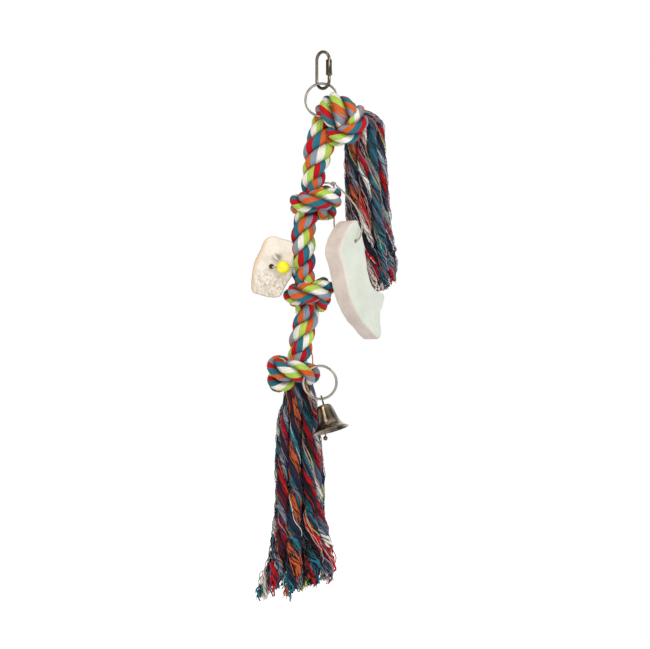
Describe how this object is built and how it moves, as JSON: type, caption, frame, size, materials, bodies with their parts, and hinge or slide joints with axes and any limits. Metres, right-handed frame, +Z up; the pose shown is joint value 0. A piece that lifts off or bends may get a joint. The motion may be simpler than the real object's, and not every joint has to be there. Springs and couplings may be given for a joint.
{
  "type": "rope chew toy",
  "caption": "Hanging knotted cotton rope toy with frayed tassels, a mineral block, a bone slice with a bead, and a bell, on a split ring and quick link.",
  "frame": {"origin": "inside of the quick link's top bow, where the toy hangs", "axes": "+Z up along the hanging rope, +X to the right in the picture, +Y away from the viewer"},
  "size_m": [0.1347, 0.0907, 0.5038],
  "materials": {
    "link_steel": "dark polished zinc",
    "ring_nickel": "polished nickel",
    "bell_nickel": "polished dark nickel",
    "rope_cotton": "soft spun cotton in six colours",
    "tassel_yarn": "unlaid cotton yarn in mixed colours",
    "cord": "twisted off-white cotton",
    "mineral": "chalky, fine pores",
    "bone": "dry, pitted",
    "bead": "glossy yellow"
  },
  "bodies": {
    "link": {"quick_link": "link_steel"},
    "sleeve": {"link_sleeve": "link_steel"},
    "top_ring": {"top_ring": "ring_nickel"},
    "hitch": {"hitch_knot": "rope_cotton"},
    "upper_rope": {"upper_stretch": "rope_cotton", "upper_knot": "rope_cotton", "block_cord_loop": "cord"},
    "middle_rope": {"middle_stretch": "rope_cotton", "middle_knot": "rope_cotton"},
    "lower_rope": {"lower_stretch": "rope_cotton", "lower_knot": "rope_cotton"},
    "upper_tassel": {"upper_tassel_root": "rope_cotton", "upper_tassel_bundle_1": "tassel_yarn", "upper_tassel_bundle_2": "tassel_yarn", "upper_tassel_bundle_3": "tassel_yarn", "upper_tassel_bundle_4": "tassel_yarn", "upper_tassel_bundle_5": "tassel_yarn", "upper_tassel_bundle_6": "tassel_yarn", "upper_tassel_bundle_7": "tassel_yarn", "upper_tassel_bundle_8": "tassel_yarn", "upper_tassel_bundle_9": "tassel_yarn", "upper_tassel_bundle_10": "tassel_yarn", "upper_tassel_bundle_11": "tassel_yarn", "upper_tassel_bundle_12": "tassel_yarn"},
    "lower_tassel": {"lower_tassel_root": "rope_cotton", "lower_tassel_bundle_1": "tassel_yarn", "lower_tassel_bundle_2": "tassel_yarn", "lower_tassel_bundle_3": "tassel_yarn", "lower_tassel_bundle_4": "tassel_yarn", "lower_tassel_bundle_5": "tassel_yarn", "lower_tassel_bundle_6": "tassel_yarn", "lower_tassel_bundle_7": "tassel_yarn", "lower_tassel_bundle_8": "tassel_yarn", "lower_tassel_bundle_9": "tassel_yarn", "lower_tassel_bundle_10": "tassel_yarn", "lower_tassel_bundle_11": "tassel_yarn", "lower_tassel_bundle_12": "tassel_yarn"},
    "block": {"mineral_block": "mineral", "block_cord": "cord", "block_cord_knot": "cord"},
    "bone": {"bone_slice": "bone", "bone_cord": "cord", "bone_cord_loop": "cord"},
    "bead": {"bone_bead": "bead"},
    "bell_ring": {"bell_ring": "ring_nickel"},
    "bell": {"bell_shell": "bell_nickel", "bell_eye": "bell_nickel"},
    "clapper": {"bell_clapper": "bell_nickel"}
  },
  "joints": [
    {"name": "sleeve_slide", "type": "slide", "parent": "link", "child": "sleeve", "axis": [0, 0, -1], "range_m": [0, 0.0065]},
    {"name": "ring_swing", "type": "hinge", "parent": "link", "child": "top_ring", "pos_m": [0, 0, -0.033], "axis": [0.766, -0.6428, 0], "range_deg": [-14, 14]},
    {"name": "hitch_turn", "type": "hinge", "parent": "top_ring", "child": "hitch", "pos_m": [-0.001, 0, -0.0428], "axis": [0, 1, 0], "range_deg": [-8, 20]},
    {"name": "upper_bend", "type": "hinge", "parent": "hitch", "child": "upper_rope", "pos_m": [-0.0045, 0.002, -0.092], "axis": [0, 1, 0], "range_deg": [-4, 22]},
    {"name": "middle_bend", "type": "hinge", "parent": "upper_rope", "child": "middle_rope", "pos_m": [-0.0175, 0, -0.1585], "axis": [1, 0, 0], "range_deg": [-3, 22]},
    {"name": "lower_bend", "type": "hinge", "parent": "middle_rope", "child": "lower_rope", "pos_m": [-0.0145, 0, -0.2427], "axis": [0, 1, 0], "range_deg": [-15, 20]},
    {"name": "upper_tassel_swing", "type": "hinge", "parent": "hitch", "child": "upper_tassel", "pos_m": [0.0362, 0.014, -0.055], "axis": [0, -1, 0], "range_deg": [0, 22]},
    {"name": "lower_tassel_swing", "type": "hinge", "parent": "lower_rope", "child": "lower_tassel", "pos_m": [-0.021, 0.002, -0.318], "axis": [0, 1, 0], "range_deg": [0, 20]},
    {"name": "block_swing", "type": "hinge", "parent": "upper_rope", "child": "block", "pos_m": [0.0092, 0, -0.1198], "axis": [0, -1, 0], "range_deg": [0, 22]},
    {"name": "bone_swing", "type": "hinge", "parent": "middle_rope", "child": "bone", "pos_m": [-0.0181, 0, -0.197], "axis": [0, 0, 1], "range_deg": [-20, 20]},
    {"name": "bead_spin", "type": "hinge", "parent": "bone", "child": "bead", "pos_m": [-0.0365, -0.012, -0.197], "axis": [1, 0, 0], "continuous": true},
    {"name": "bell_ring_turn", "type": "hinge", "parent": "lower_rope", "child": "bell_ring", "pos_m": [-0.0028, -0.018, -0.3022], "axis": [0, -1, 0], "range_deg": [0, 20]},
    {"name": "bell_swing", "type": "hinge", "parent": "bell_ring", "child": "bell", "pos_m": [-0.0006, -0.018, -0.3173], "axis": [-1, 0, 0], "range_deg": [0, 35]},
    {"name": "clapper_swing", "type": "hinge", "parent": "bell", "child": "clapper", "pos_m": [0.00226, -0.0198, -0.32815], "axis": [1, 0, 0], "range_deg": [-20, 20]}
  ]
}
